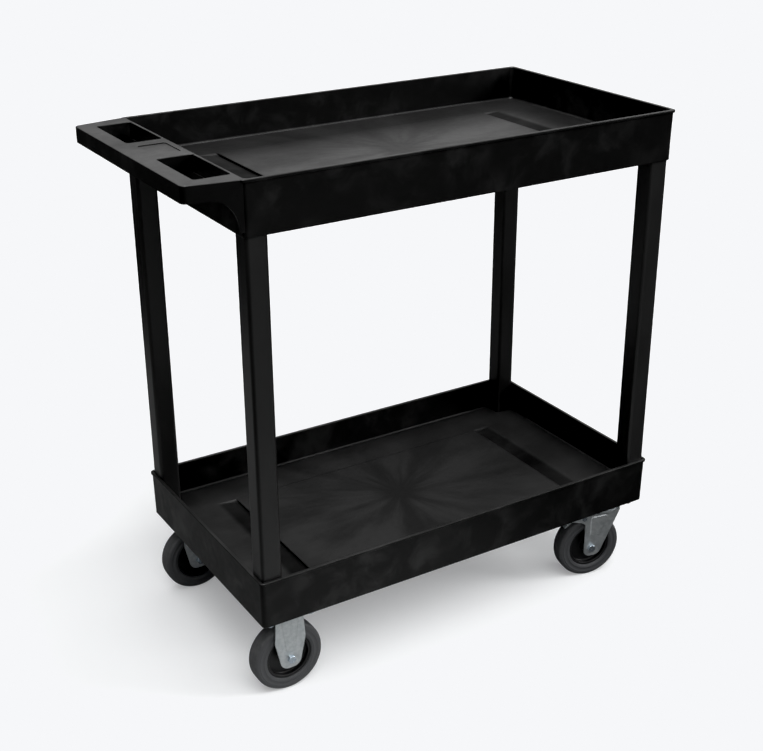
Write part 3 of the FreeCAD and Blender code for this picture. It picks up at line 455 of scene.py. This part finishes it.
def grown(name, tree, values):
    """The plain mesh that a Geometry Nodes tree makes from these input values."""
    start = placed_in_scene(name + "_start", bpy.data.meshes.new(name + "_start"))
    modifier = start.modifiers.new("grow", "NODES")
    modifier.node_group = tree
    for item in tree.interface.items_tree:
        if item.in_out == "INPUT":
            modifier[item.identifier] = values[item.name]
    bpy.context.view_layer.update()
    mesh = bpy.data.meshes.new_from_object(start.evaluated_get(bpy.context.evaluated_depsgraph_get()))
    bpy.data.objects.remove(start)
    mesh.name = name
    return placed_in_scene(name, mesh)


def floor_relief(name, tree, tray, material):
    """The relief on the floor of one tray."""
    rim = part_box(tray)[1].z
    values = {**RELIEF, "Level": rim - TRAY_DEPTH + PANEL_RISE, "Gate": (tray_centre.x, 0.0, 0.0),
              "Finish": material}
    piece = grown(name, tree, values)
    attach(piece, "frame")


# ---- tyres
def tyre_section():
    """Closed section of a tyre as (radius, across) points: round shoulders, a crowned tread with a
    parting line, and two fine rings on each side wall."""
    half = TYRE_WIDTH / 2
    flat = half - TYRE_SHOULDER
    points = [(TYRE_INNER, -half + BEAD), (TYRE_INNER + BEAD, -half)]
    for ring in RING_PLACES:
        points += [(ring + off, -half - proud) for off, proud in
                   ((-RING_FOOT, 0), (-RING_TOP, RING_PROUD), (RING_TOP, RING_PROUD), (RING_FOOT, 0))]
    for i in range(SHOULDER_STEPS + 1):
        angle = math.radians(90 * i / SHOULDER_STEPS)
        points.append((TYRE_RADIUS - TYRE_SHOULDER * (1 - math.sin(angle)) - SHOULDER_DROP,
                       -flat - TYRE_SHOULDER * math.cos(angle)))
    points += [(TYRE_RADIUS - CROWN_DROP, -flat / 2), (TYRE_RADIUS - PARTING_DROP, -PARTING_FOOT),
               (TYRE_RADIUS, -PARTING_TOP)]
    return points + [(radius, -across) for radius, across in reversed(points)]


def tyre(name, centre, axis, material):
    """Section turned round the axle; radius is kept as an attribute for the finish."""
    section = tyre_section()
    count = len(section)
    up = Vector((0, 0, 1))
    side = axis.cross(up).normalized()
    vertices = []
    for i in range(TYRE_SEGMENTS):
        angle = 2 * math.pi * i / TYRE_SEGMENTS
        out = side * math.cos(angle) + up * math.sin(angle)
        vertices += [centre + out * radius + axis * across for radius, across in section]
    faces = []
    for i in range(TYRE_SEGMENTS):
        here, ahead = i * count, (i + 1) % TYRE_SEGMENTS * count
        for j in range(count):
            k = (j + 1) % count
            faces.append((here + j, here + k, ahead + k, ahead + j))
    mesh = bpy.data.meshes.new(name)
    mesh.from_pydata(vertices, [], faces)
    mesh.attributes.new("radius", "FLOAT", "POINT").data.foreach_set(
        "value", [radius for radius, across in section] * TYRE_SEGMENTS)
    mesh.shade_smooth()
    mesh.set_sharp_from_angle(angle=TYRE_SHARP)
    mesh.materials.append(material)
    return placed_in_scene(name, mesh)


def finer_tyres(material):
    """A ringed tyre in the place of each plain one."""
    for wheel in WHEELS:
        node = "tyre_" + wheel
        low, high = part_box(node)
        piece = tyre("ringed_tyre_" + wheel, (low + high) / 2, AXES["wheel_" + wheel], material)
        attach(piece, "wheel_" + wheel)
        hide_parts(node)


def dress(materials):
    """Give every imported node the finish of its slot."""
    for part in frame["record"]["subparts"]:
        NODES[part["node"]].material_slots[0].material = materials[part["material_slot"]]


# ---- studio
def painted_floor():
    """Seamless pale floor. It shows nearly white but throws back little, with painted pools of
    light and shade, so that the black plastic stays black."""
    mesh = bpy.data.meshes.new("floor")
    mesh.from_pydata([(x, y, 0) for x, y in ((-1, -1), (1, -1), (1, 1), (-1, 1))], [], [(0, 1, 2, 3)])
    mesh.transform(Matrix.Scale(FLOOR_REACH, 4))
    floor = placed_in_scene("floor", mesh)
    material = bpy.data.materials.new("matt_painted_floor")
    material.use_nodes = True
    tree = material.node_tree
    tree.nodes.clear()
    paint = add(tree, "ShaderNodeBsdfDiffuse", [FLOOR_PAINT])
    shown = add(tree, "ShaderNodeAddShader", [paint, add(tree, "ShaderNodeEmission", [PALE, FLOOR_GLOW])])
    place = add(tree, "ShaderNodeTexCoord").outputs["Object"]
    painted_pool_tone = FLOOR_FAR
    # painted pools of light and shade, seen only in reflections and bounce light
    for middle, full, gone, colour in PAINTED_LIGHT_POOLS:
        off = add(tree, "ShaderNodeVectorMath", [place, middle], operation="DISTANCE").outputs["Value"]
        fade = add(tree, "ShaderNodeMapRange", [off, full, gone], interpolation_type="SMOOTHSTEP")
        painted_pool_tone = add(tree, "ShaderNodeMix", [fade, colour, painted_pool_tone], data_type="RGBA")
    painted_pool_tone = add(tree, "ShaderNodeBsdfDiffuse", [painted_pool_tone])
    direct = add(tree, "ShaderNodeLightPath").outputs["Is Camera Ray"]
    add(tree, "ShaderNodeOutputMaterial", [add(tree, "ShaderNodeMixShader", [direct, painted_pool_tone, shown])])
    mesh.materials.append(material)


def surround():
    """World: the floor's tone to the eye, and to the cart a glow low down all round and overhead."""
    world = bpy.data.worlds.new("surround")
    bpy.context.scene.world = world
    world.use_nodes = True
    tree = world.node_tree
    tree.nodes.clear()
    way = add(tree, "ShaderNodeTexCoord").outputs["Generated"]
    rise = add(tree, "ShaderNodeSeparateXYZ", [way]).outputs["Z"]
    low, fade, high = [add(tree, "ShaderNodeMapRange", [rise, *levels], interpolation_type="SMOOTHSTEP")
                       for levels in (GLOW_LOW, GLOW_FADE, GLOW_HIGH)]
    glow = add(tree, "ShaderNodeMath", [low, fade, high], operation="MULTIPLY_ADD")
    lit = add(tree, "ShaderNodeBackground", {"Color": WHITE, "Strength": glow})
    seen = add(tree, "ShaderNodeBackground", {"Color": PALE, "Strength": 1.0})
    direct = add(tree, "ShaderNodeLightPath").outputs["Is Camera Ray"]
    add(tree, "ShaderNodeOutputWorld", [add(tree, "ShaderNodeMixShader", [direct, lit, seen])])


def lamp(name, way, energy, spread, on_dull):
    """A soft distant light that shines from this direction."""
    light = bpy.data.lights.new(name, "SUN")
    light.energy = energy
    light.angle = math.radians(spread)
    seat = placed_in_scene(name, light)
    seat.rotation_euler = Vector(way).to_track_quat("Z", "Y").to_euler()
    seat.visible_diffuse = on_dull


def gloss_panel():
    """A long low panel behind the cart, which only the glossy surfaces mirror."""
    light = bpy.data.lights.new("gloss_panel", "AREA")
    light.shape = "RECTANGLE"
    light.size, light.size_y = PANEL_SIZE
    light.energy = PANEL_POWER
    seat = placed_in_scene("gloss_panel", light)
    seat.location = PANEL_PLACE
    seat.rotation_euler = (Vector(PANEL_PLACE) - Vector(PANEL_AIM)).to_track_quat("Z", "Y").to_euler()
    seat.visible_diffuse = False
    seat.visible_camera = False


def exposure():
    """Plain display, with the floor's highlights held at one pale tone and the deepest blacks closed."""
    view = bpy.context.scene.view_settings
    view.view_transform = "Standard"
    view.use_curve_mapping = True
    mapping = view.curve_mapping
    mapping.black_level = (BLACK_POINT,) * 3
    for curve, top in zip(mapping.curves, srgb(PALE)):
        curve.points[1].location = (1.0, top)
        curve.points.new(top, top)
        for point in curve.points:
            point.handle_type = "VECTOR"
    mapping.extend = "HORIZONTAL"
    mapping.update()


def camera():
    data = bpy.data.cameras.new("camera")
    data.lens = CAMERA_LENS
    data.sensor_width = CAMERA_SENSOR
    seat = placed_in_scene("camera", data)
    aim = Euler((math.radians(90 - CAMERA_ELEVATION), 0, math.radians(-CAMERA_AZIMUTH))).to_matrix()
    aim = aim @ Matrix.Rotation(math.radians(CAMERA_ROLL), 3, "Z")
    seat.matrix_world = Matrix.Translation(CAMERA_PLACE) @ aim.to_4x4()
    bpy.context.scene.camera = seat


tray_low, tray_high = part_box("bottom_tray")
tray_centre = (tray_low + tray_high) / 2
materials = {make.__name__: make() for make in
             (tray_plastic, post_plastic, tyre_rubber, hub_plastic, zinc_steel, bolt_steel,
              bearing_steel, bush_plastic)}
dress(materials)
relief = relief_tree()
floor_relief("top_floor_relief", relief, "top_tray", materials["tray_plastic"])
floor_relief("bottom_floor_relief", relief, "bottom_tray", materials["tray_plastic"])
finer_tyres(materials["tyre_rubber"])
painted_floor()
surround()
for values in LAMPS:
    lamp(*values)
gloss_panel()
camera()
exposure()
